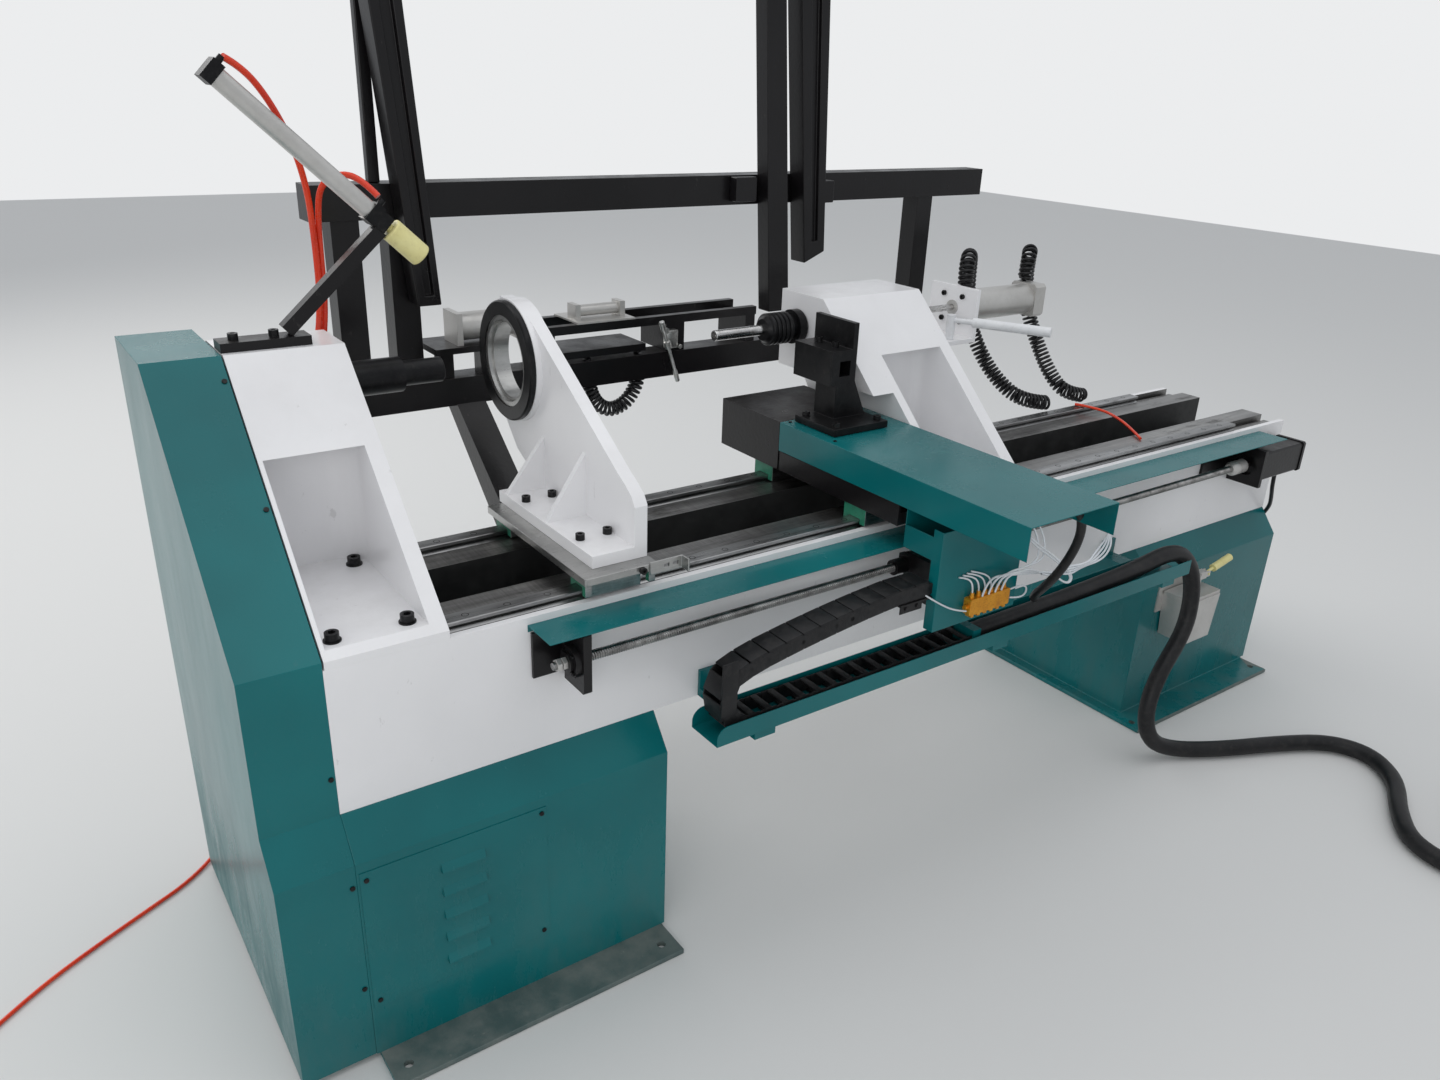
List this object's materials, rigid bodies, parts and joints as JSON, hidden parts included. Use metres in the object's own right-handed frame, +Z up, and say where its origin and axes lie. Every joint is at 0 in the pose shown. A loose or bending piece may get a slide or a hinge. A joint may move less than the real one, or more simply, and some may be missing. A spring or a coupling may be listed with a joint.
{
  "type": "cnc wood lathe",
  "caption": "CNC wood turning lathe with headstock, steady rest, ball-screw carriage with cross slide and tool post, air-driven tailstock quill, drag chain and a rear stock feeder frame.",
  "frame": {"origin": "on the floor under the middle of the left pedestal, on the bed's middle plane", "axes": "+X along the bed from headstock to tailstock, +Y to the back, +Z up; the operator stands on the -Y side"},
  "size_m": [3.679, 2.245, 2.15],
  "materials": {
    "white_paint": "gloss",
    "teal_paint": "gloss",
    "black_paint": "semi-gloss",
    "machined_steel": "machined, light oil film",
    "black_oxide": "black oxide",
    "bearing_steel": "ground",
    "cast_gray": "as cast, worn",
    "aluminium": "satin",
    "black_plastic": "satin",
    "black_rubber": "satin",
    "red_tube": "gloss",
    "white_tube": "gloss",
    "orange_block": "anodised",
    "cream_plastic": "satin",
    "belt_rubber": "matte"
  },
  "bodies": {
    "frame": {"left_pedestal": "teal_paint", "right_pedestal": "teal_paint", "louver_panel": "teal_paint", "bed": "white_paint", "guide_rails": "machined_steel", "headstock_casting": "white_paint", "end_cover": "teal_paint", "spindle_bearings": "bearing_steel", "drive_belts": "belt_rubber", "spindle_motor": "cast_gray", "chip_strip": "teal_paint", "screw_brackets": "black_paint", "feed_motor": "black_paint", "cable_tray": "teal_paint", "oil_pump": "aluminium", "arm_bracket": "black_paint", "arm_cylinder": "aluminium", "frame_screws": "black_oxide", "conduit_hose": "black_plastic", "conduit_coil": "black_plastic", "floor_hose": "red_tube", "floor_coil": "red_tube", "frame_lines": "red_tube", "feeder_frame": "black_paint", "feeder_columns": "black_paint", "feeder_table": "black_paint", "feeder_pushers": "aluminium"},
    "spindle": {"spindle": "black_oxide"},
    "motor_rotor": {"motor_pulley": "cast_gray"},
    "rest": {"rest_plate": "white_paint", "rest_casting": "white_paint", "rest_ring": "black_oxide", "rest_bolts": "black_oxide", "rest_runners": "machined_steel"},
    "rest_sleeve": {"rest_bearing": "bearing_steel"},
    "lead_screw": {"ball_screw": "bearing_steel"},
    "carriage": {"carriage_runners": "machined_steel", "saddle": "black_paint", "rear_cover": "black_paint", "cross_motor": "black_paint", "apron": "teal_paint", "nut_bracket": "black_paint", "oil_distributor": "orange_block", "carriage_lines": "white_tube", "drag_chain": "black_plastic"},
    "cross_screw": {"cross_screw": "bearing_steel"},
    "cross_slide": {"cross_slide": "black_oxide", "slide_cover": "teal_paint", "tool_post": "black_oxide", "post_screws": "black_oxide"},
    "tailstock": {"tailstock_casting": "white_paint", "tailstock_bolts": "black_oxide", "tail_sleeve": "black_oxide", "quill_cylinder": "aluminium", "coil_hoses": "black_rubber"},
    "quill": {"quill": "bearing_steel"},
    "centre": {"live_centre": "bearing_steel"},
    "clamp": {"clamp_lever": "cream_plastic"},
    "arm": {"arm_rod": "cream_plastic"},
    "oil_lever": {"pump_lever": "cream_plastic"}
  },
  "joints": [
    {"name": "spindle_spin", "type": "hinge", "parent": "frame", "child": "spindle", "pos_m": [0, 0.3, 1.122], "axis": [1, 0, 0], "continuous": true},
    {"name": "motor_spin", "type": "hinge", "parent": "frame", "child": "motor_rotor", "pos_m": [-0.35, 0.06, 0.25], "axis": [1, 0, 0], "continuous": true},
    {"name": "rest_slide", "type": "slide", "parent": "frame", "child": "rest", "axis": [1, 0, 0], "range_m": [-0.2, 0.45]},
    {"name": "rest_sleeve_spin", "type": "hinge", "parent": "rest", "child": "rest_sleeve", "pos_m": [0.28, 0.3, 1.122], "axis": [1, 0, 0], "continuous": true},
    {"name": "carriage_slide", "type": "slide", "parent": "frame", "child": "carriage", "axis": [1, 0, 0], "range_m": [-0.46, 0], "deforming": ["drag_chain"]},
    {"name": "lead_screw_spin", "type": "hinge", "parent": "frame", "child": "lead_screw", "pos_m": [1, -0.257, 0.712], "axis": [1, 0, 0], "continuous": true},
    {"name": "cross_slide_travel", "type": "slide", "parent": "carriage", "child": "cross_slide", "axis": [0, 1, 0], "range_m": [-0.2, 0]},
    {"name": "cross_screw_spin", "type": "hinge", "parent": "carriage", "child": "cross_screw", "pos_m": [0.983, 0, 0.899], "axis": [0, 1, 0], "continuous": true},
    {"name": "tailstock_slide", "type": "slide", "parent": "frame", "child": "tailstock", "axis": [1, 0, 0], "range_m": [0, 0.55]},
    {"name": "quill_travel", "type": "slide", "parent": "tailstock", "child": "quill", "axis": [1, 0, 0], "range_m": [-0.08, 0.07]},
    {"name": "centre_spin", "type": "hinge", "parent": "quill", "child": "centre", "pos_m": [0.85, 0.3, 1.122], "axis": [1, 0, 0], "continuous": true},
    {"name": "clamp_turn", "type": "hinge", "parent": "tailstock", "child": "clamp", "pos_m": [1.534, 0.238, 1.08], "axis": [0, 0, 1], "range_deg": [-20, 20]},
    {"name": "arm_travel", "type": "slide", "parent": "frame", "child": "arm", "axis": [0.7272, 0, -0.6864], "range_m": [0, 0.1]},
    {"name": "oil_lever_pull", "type": "hinge", "parent": "frame", "child": "oil_lever", "pos_m": [2.109, -0.31, 0.433], "axis": [0, 1, 0], "range_deg": [-12, 20]}
  ],
  "couplings": [
    {"joint": "motor_spin", "follows": "spindle_spin", "ratio": 1.7317},
    {"joint": "lead_screw_spin", "follows": "carriage_slide", "rad_per_m": 1256.6},
    {"joint": "cross_screw_spin", "follows": "cross_slide_travel", "rad_per_m": 1256.6}
  ]
}
